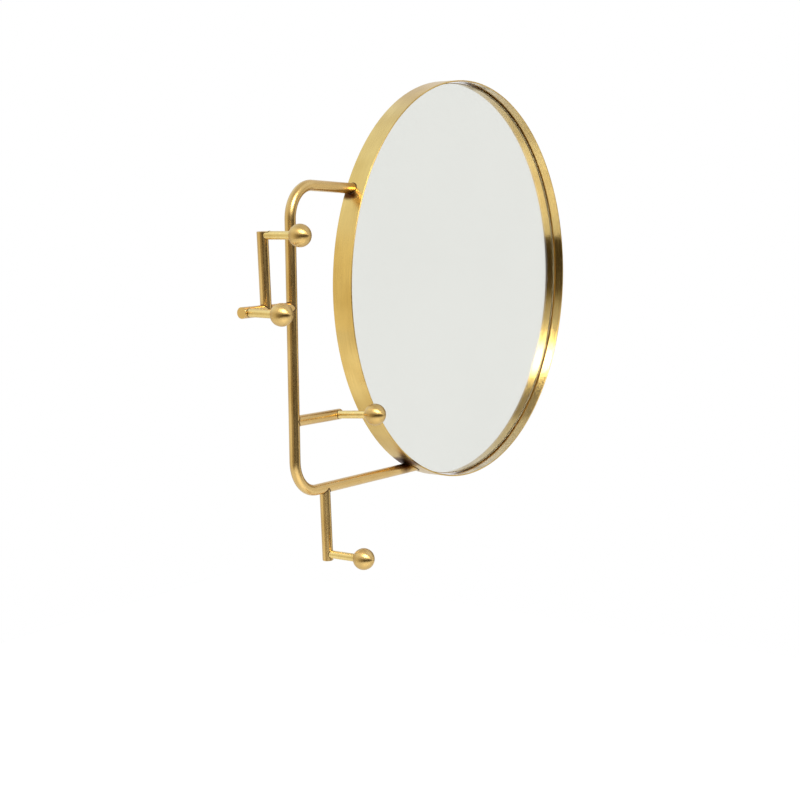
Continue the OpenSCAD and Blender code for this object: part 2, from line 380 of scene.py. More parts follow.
class BrushedLines(ShaderGroup):
    """Fine lines left by a belt or a lathe tool, with a soft unevenness under them."""

    name = "brushed lines"
    inputs = {
        "Along": ("NodeSocketVector", (0, 0, 0)),
        "Across": ("NodeSocketVector", (0, 0, 0)),
        "Line density": ("NodeSocketFloat", 2600.0),
        "Line length": ("NodeSocketFloat", 0.05),
    }
    outputs = {"Lines": "NodeSocketFloat", "Bands": "NodeSocketFloat"}
    # for each output, its share of the lines' density and its detail
    layers = {"Lines": (1.0, 3.0), "Bands": (0.12, 2.0)}
    raggedness = 0.6

    @classmethod
    def build(cls, nodes: Nodes, given: Outputs) -> dict[str, Socket]:
        """Lines are a fraction of a millimetre apart, bands a few millimetres.

        Args:
            nodes: The nodes of the group.
            given: The group's inputs, by name.

        Returns:
            What feeds each of the group's outputs.
        """
        along = nodes.scale(given["Along"], nodes.math("DIVIDE", 1.0, given["Line length"]))
        ends = {}
        for name, (share, detail) in cls.layers.items():
            density = nodes.math("MULTIPLY", given["Line density"], share)
            place = nodes.vector("ADD", along, nodes.scale(given["Across"], density))
            ends[name] = nodes.noise(place, detail=detail, roughness=cls.raggedness)
        return ends


class Patina(ShaderGroup):
    """Uneven tone of lacquered metal: broad soft patches and small finger-sized clouds."""

    name = "patina"
    inputs = {"Point": ("NodeSocketVector", (0, 0, 0)), "Patch size": ("NodeSocketFloat", 0.05)}
    outputs = {"Tone": "NodeSocketFloat", "Clouds": "NodeSocketFloat"}
    clouds_to_a_patch = 5.0
    tone_detail, cloud_detail = 1.0, 4.0

    @classmethod
    def build(cls, nodes: Nodes, given: Outputs) -> dict[str, Socket]:
        """Both values lie about 0.5.

        Args:
            nodes: The nodes of the group.
            given: The group's inputs, by name.

        Returns:
            What feeds each of the group's outputs.
        """
        scale = nodes.math("DIVIDE", 1.0, given["Patch size"])
        fine = nodes.math("MULTIPLY", scale, cls.clouds_to_a_patch)
        return {
            "Tone": nodes.noise(given["Point"], scale, detail=cls.tone_detail),
            "Clouds": nodes.noise(given["Point"], fine, detail=cls.cloud_detail),
        }


class Dust(ShaderGroup):
    """Thin dust that lies on whatever looks up."""

    name = "dust"
    inputs = {"Point": ("NodeSocketVector", (0, 0, 0))}
    outputs = {"Dust": "NodeSocketFloat"}
    settling: Span = (0.45, 0.98)  # z of the normal, from no dust to full dust
    speck_noise = (900.0, 3.0, 0.7)  # scale, detail and roughness
    specks: Span = (0.42, 0.75)  # noise, from bare metal to a full speck

    @classmethod
    def build(cls, nodes: Nodes, given: Outputs) -> dict[str, Socket]:
        """Grows from nothing on an upright wall to its most on a level face.

        Args:
            nodes: The nodes of the group.
            given: The group's inputs, by name.

        Returns:
            What feeds each of the group's outputs.
        """
        normal = nodes.add("ShaderNodeNewGeometry").outputs["Normal"]
        level = nodes.ramp(nodes.split(normal)[2], *cls.settling)
        specks = nodes.ramp(nodes.noise(given["Point"], *cls.speck_noise), *cls.specks)
        return {"Dust": nodes.math("MULTIPLY", level, specks)}


class PaintedCornerShade(ShaderGroup):
    """Painted shade: a dark spot that stands in for the shade and dark reflections in a tight corner
    where the rail meets the band.
    """

    name = "painted corner shade"
    inputs = {
        "Point": ("NodeSocketVector", (0, 0, 0)),
        "Corner": ("NodeSocketVector", (0, 0, 0)),
        "Reach": ("NodeSocketFloat", 0.02),
    }
    outputs = {"Painted shade": "NodeSocketFloat"}
    stretch = (1.0, 0.5, 1.0)  # what it does to a distance: the spot is twice as long along Y
    edge_noise = (260.0, 2.0)  # scale and detail of its uneven edge
    unevenness = 0.3  # how far the edge wanders, as a share of the reach
    fade: Span = (0.3, 1.0)  # shares of the reach, from full tarnish to none

    @classmethod
    def build(cls, nodes: Nodes, given: Outputs) -> dict[str, Socket]:
        """Full in the corner and gone at about the reach.

        Args:
            nodes: The nodes of the group.
            given: The group's inputs, by name.

        Returns:
            What feeds each of the group's outputs.
        """
        away = nodes.vector("SUBTRACT", given["Point"], given["Corner"])
        away = nodes.length(nodes.vector("MULTIPLY", away, cls.stretch))
        share = nodes.math("DIVIDE", away, given["Reach"])
        share = nodes.math("SUBTRACT", share, cls.unevenness / 2)
        uneven = nodes.noise(given["Point"], *cls.edge_noise)
        share = nodes.math("MULTIPLY_ADD", uneven, cls.unevenness, share)
        return {"Painted shade": nodes.ramp(share, *cls.fade, 1.0, 0.0)}


# ---------------------------------------------------------------- finishes


class Lay(Enum):
    """The way in which the belt or the lathe tool ran over a piece."""

    ROUND_FRAME = "round the frame"
    ALONG_RAIL = "along the bent rail"
    ALONG_X = "along the wall"
    ALONG_Z = "up the wall"
    TURNED = "round a peg"


SLOW_AXIS = {Lay.ALONG_X: (1, 0, 0), Lay.ALONG_Z: (0, 0, 1)}


class Surface(Nodes):
    """The nodes of a new material, with its Principled shader and the place on its piece."""

    def __init__(self, name: str) -> None:
        """Starts a material.

        Args:
            name: The material's name.
        """
        self.material = bpy.data.materials.new(name)
        self.material.use_nodes = True
        super().__init__(self.material.node_tree)
        self.shader = self.tree.nodes["Principled BSDF"]
        self.point = self.add("ShaderNodeTexCoord").outputs["Object"]

    def bump(self, height: Socket, relief: float) -> None:
        """Gives the surface a relief, whose height is in metres."""
        bump = self.add("ShaderNodeBump", {"Height": height, "Distance": relief})
        self.feed(self.shader, {"Normal": bump.outputs[0]})


@dataclass(frozen=True)
class BrushedBrass:
    """Satin brass, brushed one way, and lacquered where it is polished.

    Args:
        name: The material's name.
        lay: The way the lines run.
        colour: Linear colour of the metal.
        roughness: Mean roughness.
        lean: Turn of the lines in the wall's plane, in degrees.
        line_depth: Height of the brushed lines.
        rail: The rail that the lines follow, if they follow one.
        anisotropy: How far a highlight is drawn out across lines that run round Y.
        corners: Tight corners that get painted shade, each with the reach of that shade.
        polish: Radius inside which the metal is lacquered and smoother, and by how much.
        rim: y in front of which the metal is ground and rougher, and by how much.
        deep: Factors that give the colour of the darker patches.
        bright: Factors that give the colour of the brighter patches.
        line_tone: Factors of the colour at the bottom and at the top of the lines.
        dust_colour: Linear colour of dust.
        dust_share: Share of the dust's colour where the dust is full.
        painted_shade_colour: Linear colour of the painted corner shade.
        band_spread: Spread of the roughness over the brushed bands.
        cloud_spread: Spread of the roughness over the clouds of the patina.
        dust_dulling: Roughness that full dust adds.
        painted_shade_dulling: Roughness that full painted corner shade adds.
        coat_roughness: Roughness of the lacquer.
        tangent_turn: Turn of the drawn-out highlight, as a share of a full turn.
    """

    name: str
    lay: Lay
    colour: Colour = (0.690, 0.462, 0.170)
    roughness: float = 0.27
    lean: float = 0.0
    line_depth: float = 0.000003
    rail: "SideRail | None" = None
    anisotropy: float = 0.0
    corners: tuple[tuple[Vector, float], ...] = ()
    polish: tuple[float, float] | None = None
    rim: tuple[float, float] | None = None
    deep: Colour = (0.90, 0.86, 0.78)
    bright: Colour = (1.07, 1.08, 1.12)
    line_tone: Span = (0.90, 1.06)
    dust_colour: Colour = (0.62, 0.58, 0.50)
    dust_share: float = 0.10
    # dark colour of the painted shade in the tight corners
    painted_shade_colour: Colour = (0.11, 0.036, 0.005)
    band_spread: float = 0.06
    cloud_spread: float = 0.05
    dust_dulling: float = 0.12
    painted_shade_dulling: float = 0.15
    coat_roughness: float = 0.12
    tangent_turn: float = 0.25

    def coordinates(self, surface: Surface) -> tuple[Socket, Socket]:
        """Lays the brushing on the piece.

        Args:
            surface: The nodes of the material.

        Returns:
            The coordinates along and across the brushing.
        """
        if self.lay is Lay.ROUND_FRAME:
            ends = RoundFrameLay.place(surface, point=surface.point)
            return ends["Along"], ends["Across"]
        if self.lay is Lay.ALONG_RAIL:
            upper, lower = (run.bend_centre(self.rail) for run in self.rail.runs)
            ends = RailLay.place(
                surface,
                point=surface.point,
                bend_centre=(upper + lower) / 2,
                bend_radius=self.rail.bend_radius,
                straight=(upper.z - lower.z) / 2,
                slopes=[math.tan(math.radians(run.fall)) for run in self.rail.runs] + [0.0],
            )
            return ends["Along"], ends["Across"]
        if self.lay is Lay.TURNED:
            x, y, z = surface.split(surface.point)
            return surface.join(x, 0.0, z), surface.join(0.0, y, 0.0)
        turn = (0.0, math.radians(self.lean), 0.0)
        turned = surface.add("ShaderNodeMapping", {"Vector": surface.point, "Rotation": turn})
        slow = Vector(SLOW_AXIS[self.lay])
        fast = Vector((1, 1, 1)) - slow
        along, across = (surface.vector("MULTIPLY", turned.outputs[0], w) for w in (slow, fast))
        return along, across

    def tarnish(self, surface: Surface) -> Feed:
        """Finds the corners that get painted shade.

        Args:
            surface: The nodes of the material.

        Returns:
            The output that carries their mask, or 0 where there are none.
        """
        total = 0.0
        for corner, reach in self.corners:
            spot = PaintedCornerShade.place(surface, point=surface.point, corner=corner, reach=reach)
            total = surface.math("ADD", spot["Painted shade"], total)
        return total

    def tone(self, surface: Surface, lines: Socket, patches: Socket, dust: Socket) -> Socket:
        """Gives the brass its uneven tone.

        Args:
            surface: The nodes of the material.
            lines: The brushed lines.
            patches: The broad patches of the patina.
            dust: The mask of the dust.

        Returns:
            The output that carries the colour, still without tarnish.
        """
        deep = tuple(c * f for c, f in zip(self.colour, self.deep))
        bright = tuple(min(1.0, c * f) for c, f in zip(self.colour, self.bright))
        toned = surface.mix(surface.ramp(patches, *SOFT), deep, bright)
        toned = surface.scale(toned, surface.ramp(lines, *EVEN, *self.line_tone))
        return surface.mix(surface.math("MULTIPLY", dust, self.dust_share), toned, self.dust_colour)

    def dullness(self, surface: Surface, bands: Socket, clouds: Socket, dust: Socket) -> Socket:
        """Gives the brass its uneven roughness, and its lacquer where it is polished.

        Args:
            surface: The nodes of the material.
            bands: The brushed bands.
            clouds: The clouds of the patina.
            dust: The mask of the dust.

        Returns:
            The output that carries the roughness, still without what the painted corner shade adds.
        """
        low = self.roughness - self.band_spread / 2
        rough = surface.math("MULTIPLY_ADD", surface.ramp(bands, *EVEN), self.band_spread, low)
        rough = surface.math("SUBTRACT", rough, self.cloud_spread / 2)
        rough = surface.math("MULTIPLY_ADD", clouds, self.cloud_spread, rough)
        rough = surface.math("MULTIPLY_ADD", dust, self.dust_dulling, rough)
        if self.polish is not None:
            edge, less = self.polish
            inside = surface.math("LESS_THAN", surface.radius(surface.point), edge)
            rough = surface.math("MULTIPLY_ADD", inside, -less, rough)
            coat = {"Coat Weight": inside, "Coat Roughness": self.coat_roughness}
            surface.feed(surface.shader, coat)
        if self.rim is not None:
            edge, more = self.rim
            front = surface.math("LESS_THAN", surface.split(surface.point)[1], edge)
            rough = surface.math("MULTIPLY_ADD", front, more, rough)
        return rough

    def material(self) -> bpy.types.Material:
        """Makes the material with its lines, tone, dust, painted corner shade and bump.

        Returns:
            The finished material.
        """
        surface = Surface(self.name)
        along, across = self.coordinates(surface)
        brushed = BrushedLines.place(surface, along=along, across=across)
        patina = Patina.place(surface, point=surface.point)
        dust = Dust.place(surface, point=surface.point)["Dust"]
        toned = self.tone(surface, brushed["Lines"], patina["Tone"], dust)
        rough = self.dullness(surface, brushed["Bands"], patina["Clouds"], dust)
        # painted shade: the corner mask darkens the colour in the tight corners at the rail's joints
        if self.corners:
            tarnish = self.tarnish(surface)
            toned = surface.mix(tarnish, toned, self.painted_shade_colour)
            rough = surface.math("MULTIPLY_ADD", tarnish, self.painted_shade_dulling, rough)
        surface.feed(surface.shader, {"Base Color": toned, "Roughness": rough, "Metallic": 1.0})
        surface.bump(brushed["Lines"], self.line_depth)
        if self.anisotropy:
            round_y = surface.add("ShaderNodeTangent", direction_type="RADIAL", axis="Y")
            drawn_out = {
                "Tangent": round_y.outputs[0],
                "Anisotropic": self.anisotropy,
                "Anisotropic Rotation": self.tangent_turn,
            }
            surface.feed(surface.shader, drawn_out)
        return surface.material


@dataclass(frozen=True)
class PaintedSeamShade:
    """A dark finish for weld seams: painted contact shade in the corner of a welded joint.

    Args:
        name: The material's name.
        colour: Linear colour of the painted contact shade.
        spot_size: Size of its patches.
        spot_tone: The colour's factor in the brighter spots.
        spots: Noise, from oxide to a full spot.
        roughness: Lowest and highest roughness.
        relief: Height of its grain.
        metallic: How far it looks like metal.
        gloss: How far its plain part reflects.
    """

    name: str = "seam_painted_shade"
    # dark painted contact shade
    colour: Colour = (0.07, 0.036, 0.010)
    spot_size: float = 0.002
    spot_tone: float = 2.2
    spots: Span = (0.45, 0.70)
    roughness: Span = (0.5, 0.7)
    relief: float = 0.0001
    metallic: float = 0.3
    gloss: float = 0.25

    def material(self) -> bpy.types.Material:
        """Makes the material, spotted with brighter metal.

        Returns:
            The finished material.
        """
        surface = Surface(self.name)
        grain = Patina.place(surface, point=surface.point, patch_size=self.spot_size)
        share = surface.ramp(grain["Clouds"], *self.spots)
        inputs = {
            "Base Color": surface.mix(share, self.colour, times(self.colour, self.spot_tone)),
            "Roughness": surface.ramp(grain["Tone"], *EVEN, *self.roughness),
            "Metallic": self.metallic,
            "Specular IOR Level": self.gloss,
        }
        surface.feed(surface.shader, inputs)
        surface.bump(grain["Clouds"], self.relief)
        return surface.material


@dataclass(frozen=True)
class ClearGlass:
    """Float glass with a faint film of dust.

    Args:
        name: The material's name.
        tint: Linear colour of the glass.
        refraction: Its index of refraction.
        film_size: Size of the patches of the film.
        film: Noise, from clean glass to a full film.
        roughness: Roughness without the film and under it.
    """

    name: str = "clear_glass"
    tint: Colour = (0.985, 0.995, 0.985)
    refraction: float = 1.52
    film_size: float = 0.12
    film: Span = (0.45, 0.85)
    roughness: Span = (0.0, 0.02)

    def material(self) -> bpy.types.Material:
        """Makes the glass, whose film shows only as a little roughness.

        Returns:
            The finished material.
        """
        surface = Surface(self.name)
        film = Patina.place(surface, point=surface.point, patch_size=self.film_size)["Clouds"]
        inputs = {
            "Base Color": (*self.tint, 1.0),
            "Roughness": surface.ramp(film, *self.film, *self.roughness),
            "Transmission Weight": 1.0,
            "IOR": self.refraction,
        }
        surface.feed(surface.shader, inputs)
        return surface.material


@dataclass(frozen=True)
class GroundGlass:
    """The ground edge of a glass sheet, which sits in the shadow of the band; its tan colour is a
    painted reflection of the brass band.

    Args:
        name: The material's name.
        colour: Linear colour of the edge: a tan that paints the band's reflection.
        darker: The colour's factor in the marks.
        mark_length: Length of the grinding marks.
        roughness: Lowest and highest roughness.
    """

    name: str = "ground_glass_edge_painted_reflection"
    # painted reflection: a tan that stands in for the brass band seen in the ground edge
    colour: Colour = (0.60, 0.47, 0.25)
    darker: float = 0.82
    mark_length: float = 0.004
    roughness: Span = (0.55, 0.75)

    def material(self) -> bpy.types.Material:
        """Makes the edge with its fine grinding marks.

        Returns:
            The finished material.
        """
        surface = Surface(self.name)
        lay = RoundFrameLay.place(surface, point=surface.point)
        marks = BrushedLines.place(
            surface, along=lay["Along"], across=lay["Across"], line_length=self.mark_length
        )["Lines"]
        share = surface.ramp(marks, *HARD)
        toned = surface.mix(share, times(self.colour, self.darker), self.colour)
        rough = surface.ramp(marks, *EVEN, *self.roughness)
        surface.feed(surface.shader, {"Base Color": toned, "Roughness": rough})
        return surface.material


@dataclass(frozen=True)
class Silvering:
    """The silver layer behind the glass.

    Args:
        name: The material's name.
        colour: Linear colour of the silver.
        darker: The colour's factor where it is darkest.
        drift_size: Size of the patches over which its tone drifts.
    """

    name: str = "silvering"
    colour: Colour = (0.798, 0.800, 0.768)
    darker: float = 0.985
    drift_size: float = 0.25

    def material(self) -> bpy.types.Material:
        """Makes a mirror whose tone drifts a little over the sheet.

        Returns:
            The finished material.
        """
        surface = Surface(self.name)
        drift = Patina.place(surface, point=surface.point, patch_size=self.drift_size)["Tone"]
        share = surface.ramp(drift, *EVEN)
        toned = surface.mix(share, times(self.colour, self.darker), self.colour)
        surface.feed(surface.shader, {"Base Color": toned, "Metallic": 1.0, "Roughness": 0.0})
        return surface.material


@dataclass(frozen=True)
class PlainFinish:
    """A finish of one tone with grain, for what lies behind the mirror.

    Args:
        name: The material's name.
        colour: Linear colour.
        darker: The colour's factor in the dark of the grain.
        metallic: 1 for metal, or 0.
        roughness: Lowest and highest roughness.
        grain: Size of the grain.
        relief: Height of the grain.
    """

    name: str
    colour: Colour
    darker: float
    metallic: float
    roughness: Span
    grain: float
    relief: float

    def material(self) -> bpy.types.Material:
        """Makes the material with its grain.

        Returns:
            The finished material.
        """
        surface = Surface(self.name)
        grain = Patina.place(surface, point=surface.point, patch_size=self.grain)
        share = surface.ramp(grain["Clouds"], *HARD)
        inputs = {
            "Base Color": surface.mix(share, times(self.colour, self.darker), self.colour),
            "Roughness": surface.ramp(grain["Tone"], *EVEN, *self.roughness),
            "Metallic": self.metallic,
        }
        surface.feed(surface.shader, inputs)
        surface.bump(grain["Clouds"], self.relief)
        return surface.material


FOAM = PlainFinish(
    "foam_tape",
    (0.045, 0.045, 0.048),
    darker=0.6,
    metallic=0.0,
    roughness=(0.8, 0.95),
    grain=0.002,
    relief=0.0003,
)
BOARD = PlainFinish(
    "fibreboard",
    (0.33, 0.235, 0.15),
    darker=0.72,
    metallic=0.0,
    roughness=(0.7, 0.9),
    grain=0.004,
    relief=0.00008,
)
ZINC = PlainFinish(
    "zinc_plate",
    (0.62, 0.63, 0.65),
    darker=0.86,
    metallic=1.0,
    roughness=(0.28, 0.42),
    grain=0.006,
    relief=0.00001,
)
SCREW_ZINC = PlainFinish(
    "screw_zinc",
    (0.70, 0.69, 0.66),
    darker=0.85,
    metallic=1.0,
    roughness=(0.22, 0.36),
    grain=0.003,
    relief=0.00001,
)


def dress(node: str, material: bpy.types.Material) -> None:
    """Gives a carried-over node its material in every slot.

    Args:
        node: The node's name.
        material: Its finish.
    """
    piece = frame["nodes"][node]
    if not piece.material_slots:
        piece.data.materials.append(material)
    for slot in piece.material_slots:
        slot.material = material
    log.info("dressed %s in %s", node, material.name)


# ---------------------------------------------------------------- sub-assemblies


@dataclass
class TubeRun:
    """A straight stretch of tube or rod.

    Args:
        root: Where its axis starts.
        way: The direction in which its axis runs.
        radius: Its outer radius.
    """

    root: Vector
    way: Vector
    radius: float

    def turn(self) -> Matrix:
        """Returns the turn that stands Z along the run."""
        return self.way.to_track_quat("Z", "Y").to_matrix().to_4x4()


@dataclass
class JointSeam:
    """The thin seam that a welded joint leaves where a coped end meets its parent; its dark finish is
    painted contact shade.

    Args:
        name: The seam's name.
        run: The coped tube or rod.
        parent: The node that it is joined to.
        standoff: Distance along the run at which the ring starts.
        bead: Radius of the seam.
        shy: How far the ring lies inside the surface of the run.
        points: Points round the seam.
        rounding: Blender's bevel resolution for the seam's section.
    """

    name: str
    run: TubeRun
    parent: str
    standoff: float = 0.012
    bead: float = 0.00085
    shy: float = 0.00005
    points: int = 96
    rounding: int = 2

    def build(self, material: bpy.types.Material) -> bpy.types.Object:
        """Projects a ring along the run onto the parent and gives it its thickness.

        Args:
            material: The seam's finish.

        Returns:
            The finished seam.
        """
        deselect_all()
        start = self.run.root + self.run.way * self.standoff
        bpy.ops.mesh.primitive_circle_add(
            vertices=self.points, radius=self.run.radius - self.shy, fill_type="NOTHING"
        )
        ring = bpy.context.active_object
        ring.matrix_world = Matrix.Translation(start) @ self.run.turn()
        bpy.context.view_layer.update()
        wrap = ring.modifiers.new("onto the parent", "SHRINKWRAP")
        wrap.target = frame["nodes"][self.parent]
        wrap.wrap_method = "PROJECT"
        wrap.use_project_z = True
        wrap.use_positive_direction = False
        wrap.use_negative_direction = True
        make_active(ring)
        bpy.ops.object.modifier_apply(modifier=wrap.name)
        bpy.ops.object.convert(target="CURVE")
        ring.data.bevel_depth = self.bead
        ring.data.bevel_resolution = self.rounding
        bpy.ops.object.convert(target="MESH")
        bpy.ops.object.shade_smooth()
        seam = settle(bpy.context.active_object, self.name)
        seam.data.materials.clear()
        seam.data.materials.append(material)
        hand_over(seam)
        return seam


@dataclass
class MirrorPane:
    """The sheet of glass with its ground edge, and the silver behind it.

    Args:
        arris: Width of the ground arris.
        silver_thickness: Thickness of the silver and its paint.
        silver_overlap: Share of that thickness by which the silver reaches into the glass.
        silver_ease: Width of the silver's eased edges, as a share of its thickness.
        sides: Straight edges round the disc.
        flat: Least part of a face's normal along Y that makes it part of the sheet's two sides.
        crease: Angle between faces up to which they shade smoothly, in degrees.
        low: The plain disc's corner with the least x, y and z.
        high: Its corner with the greatest x, y and z.
    """

    arris: float = 0.0008
    silver_thickness: float = 0.0001
    silver_overlap: float = 0.2
    silver_ease: float = 0.25
    sides: int = 360
    flat: float = 0.99
    crease: float = 20.0
    low: Vector = field(default_factory=lambda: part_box("mirror_glass")[0])
    high: Vector = field(default_factory=lambda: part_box("mirror_glass")[1])

    def disc(self, radius: float, front: float, back: float, arris: float) -> bpy.types.Object:
        """Models a disc with eased edges that faces the room.

        Args:
            radius: Outer radius.
            front: y of the face towards the room.
            back: y of the face towards the wall.
            arris: Width of the eased edges.

        Returns:
            The disc, still with its own transform.
        """
        deselect_all()
        bpy.ops.mesh.primitive_cylinder_add(
            vertices=self.sides,
            radius=radius,
            depth=back - front,
            location=(0.0, (front + back) / 2, 0.0),
            rotation=(math.pi / 2, 0.0, 0.0),
        )
        disc = bpy.context.active_object
        bpy.ops.object.mode_set(mode="EDIT")
        bpy.ops.mesh.select_all(action="DESELECT")
        bpy.ops.object.mode_set(mode="OBJECT")
        for edge in disc.data.edges:
            a, b = (disc.data.vertices[i].co for i in edge.vertices)
            edge.select = abs(a.z - b.z) < SAME_PLACE
        bpy.ops.object.mode_set(mode="EDIT")
        bpy.ops.mesh.bevel(offset=arris, offset_type="OFFSET", segments=1, affect="EDGES")
        bpy.ops.object.mode_set(mode="OBJECT")
        return disc

    def build(self) -> None:
        """Makes the glass and the silver in place of the plain disc."""
        radius = self.high.x
        glass = settle(self.disc(radius, self.low.y, self.high.y, self.arris), "mirror_pane")
        glass.data.materials.append(ClearGlass().material())
        glass.data.materials.append(GroundGlass().material())
        for face in glass.data.polygons:
            face.material_index = 0 if abs(face.normal.y) > self.flat else 1
            face.use_smooth = face.material_index == 1
        make_active(glass)
        bpy.ops.object.shade_smooth_by_angle(angle=math.radians(self.crease))
        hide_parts("mirror_glass")
        hand_over(glass)

        back = self.high.y + self.silver_thickness
        front = self.high.y - self.silver_overlap * self.silver_thickness
        ease = self.silver_ease * self.silver_thickness
        silver = self.disc(radius - self.arris, front, back, ease)
        silver = settle(silver, "mirror_silvering")
        silver.data.materials.append(Silvering().material())
        hand_over(silver)


@dataclass(frozen=True)
class RailRun:
    """The stretch of the rail between a bend and the frame.

    Args:
        name: The run's name.
        angle: Angle of its joint on the band, above the horizontal.
        fall: Its fall towards the frame, in degrees.
        tarnish: Reach of the painted shade in the corner of its joint.
        painted_shade_shift: Distance of its middle from the tube, as a share of its reach.
    """

    name: str
    angle: float
    fall: float
    tarnish: float
    painted_shade_shift: float = 0.15

    def joint(self, rail: "SideRail") -> Vector:
        """Places the run's joint.

        Args:
            rail: The rail that the run is part of.

        Returns:
            The place where the run's axis meets the band.
        """
        angle = math.radians(self.angle)
        radius = rail.frame_radius
        return Vector((-radius * math.cos(angle), rail.axis_y, radius * math.sin(angle)))

    def corner(self, rail: "SideRail") -> tuple[Vector, float]:
        """Places the painted shade in the tight corner between the run and the band.

        Args:
            rail: The rail that the run is part of.

        Returns:
            The middle of the painted shade, and its reach.
        """
        away = rail.tube_radius + self.painted_shade_shift * self.tarnish
        z = self.joint(rail).z - math.copysign(away, self.angle)
        x = -math.sqrt(rail.frame_radius**2 - z**2)
        return Vector((x, rail.axis_y, z)), self.tarnish

    def way(self) -> Vector:
        """Returns the direction of the run, away from the frame."""
        fall = math.radians(self.fall)
        return Vector((-math.cos(fall), 0.0, math.sin(fall)))

    def height(self, rail: "SideRail", x: float) -> float:
        """Returns z of the run's axis at the given x."""
        joint = self.joint(rail)
        return joint.z + (joint.x - x) * math.tan(math.radians(self.fall))

    def bend_centre(self, rail: "SideRail") -> Vector:
        """Places the bend at the run's far end.

        Args:
            rail: The rail that the run is part of.

        Returns:
            The centre of the bend.
        """
        drop = math.copysign(rail.bend_radius, self.angle)
        x = rail.axis_x + rail.bend_radius
        return Vector((x, rail.axis_y, self.height(rail, x) - drop))


@dataclass(frozen=True)
class SideRail:
    """The bent tube beside the frame, coped onto it at both ends.

    Args:
        frame_radius: Outer radius of the band.
        offset: Distance from the band to the axis of the upright.
        axis_y: y of the rail's axis.
        tube_radius: Outer radius of the tube.
        bend_radius: Radius of the tube's axis in its bends.
        seam_standoff: Distance from the band at which the ring of a seam starts.
        runs: The upper and the lower run.
    """

    frame_radius: float = 0.300
    offset: float = 0.1025
    axis_y: float = -0.0095
    tube_radius: float = 0.0075
    bend_radius: float = 0.045
    seam_standoff: float = 0.06
    runs: tuple[RailRun, RailRun] = (
        RailRun("upper", angle=27.8, fall=2.7, tarnish=0.010),
        RailRun("lower", angle=-65.0, fall=0.6, tarnish=0.024),
    )

    @property
    def axis_x(self) -> float:
        """x of the upright's axis."""
        return -self.frame_radius - self.offset

    @property
    def corners(self) -> tuple[tuple[Vector, float], ...]:
        """The corners of its joints that get painted shade, each with its reach."""
        return tuple(run.corner(self) for run in self.runs)

    def build(self, seam_shade_finish: bpy.types.Material) -> None:
        """Dresses the rail and seams both its ends to the frame.

        Args:
            seam_shade_finish: Finish of the seams.
        """
        finish = BrushedBrass("rail_brass", Lay.ALONG_RAIL, rail=self, corners=self.corners)
        dress("side_rail", finish.material())
        for run in self.runs:
            start = TubeRun(run.joint(self), run.way(), self.tube_radius)
            seam = JointSeam(f"rail_seam_{run.name}", start, "frame_band", self.seam_standoff)
            seam.build(seam_shade_finish)


@dataclass
class HookBranch:
    """A branch of the rail with its cap, peg and ball.

    Args:
        name: The branch's node, whose cap, peg and ball are named after it.
        parent: The node that it is joined to.
        root: Where its axis leaves its parent's axis.
        way: Its direction.
        reach: Distance from its root to its peg.
        lay: The way in which its tube is brushed.
        hook_turn: Turn of its hook about the tube, in degrees.
        tube_radius: Outer radius of the tube.
        peg_radius: Radius of the peg.
        peg_bead: Radius of the seam round the peg.
    """

    name: str
    parent: str
    root: Vector
    way: Vector
    reach: float
    lay: Lay
    hook_turn: float = 0.0
    tube_radius: float = 0.0075
    peg_radius: float = 0.0055
    peg_bead: float = 0.0005

    @property
    def lean(self) -> float:
        """Turn about Y that brings the branch onto the axis of its lay, in degrees."""
        if self.lay is Lay.ALONG_X:
            return math.degrees(math.atan(self.way.z / self.way.x))
        return -math.degrees(math.atan(self.way.x / self.way.z))

    def peg(self) -> TubeRun:
        """Places the peg, which leaves the branch towards the room.

        Returns:
            The peg's run, from the branch's axis.
        """
        out = Vector((0.0, -1.0, 0.0))
        turn = math.radians(self.hook_turn)
        way = out * math.cos(turn) + out.cross(self.way) * math.sin(turn)
        return TubeRun(self.root + self.way * self.reach, way, self.peg_radius)

    def build(self, turned: dict[str, bpy.types.Material], seam_shade_finish: bpy.types.Material) -> None:
        """Dresses the four pieces and seams the branch and its peg.

        Args:
            turned: Finishes of the peg and the ball, by the ending of their nodes' names.
            seam_shade_finish: Finish of the seams.
        """
        finish = BrushedBrass(f"{self.name}_brass", self.lay, lean=self.lean).material()
        for part in ("", "_cap"):
            dress(self.name + part, finish)
        for part, material in turned.items():
            dress(self.name + part, material)
        own = TubeRun(self.root, self.way, self.tube_radius)
        JointSeam(f"{self.name}_seam", own, self.parent).build(seam_shade_finish)
        peg_seam = JointSeam(f"{self.name}_peg_seam", self.peg(), self.name, bead=self.peg_bead)
        peg_seam.build(seam_shade_finish)


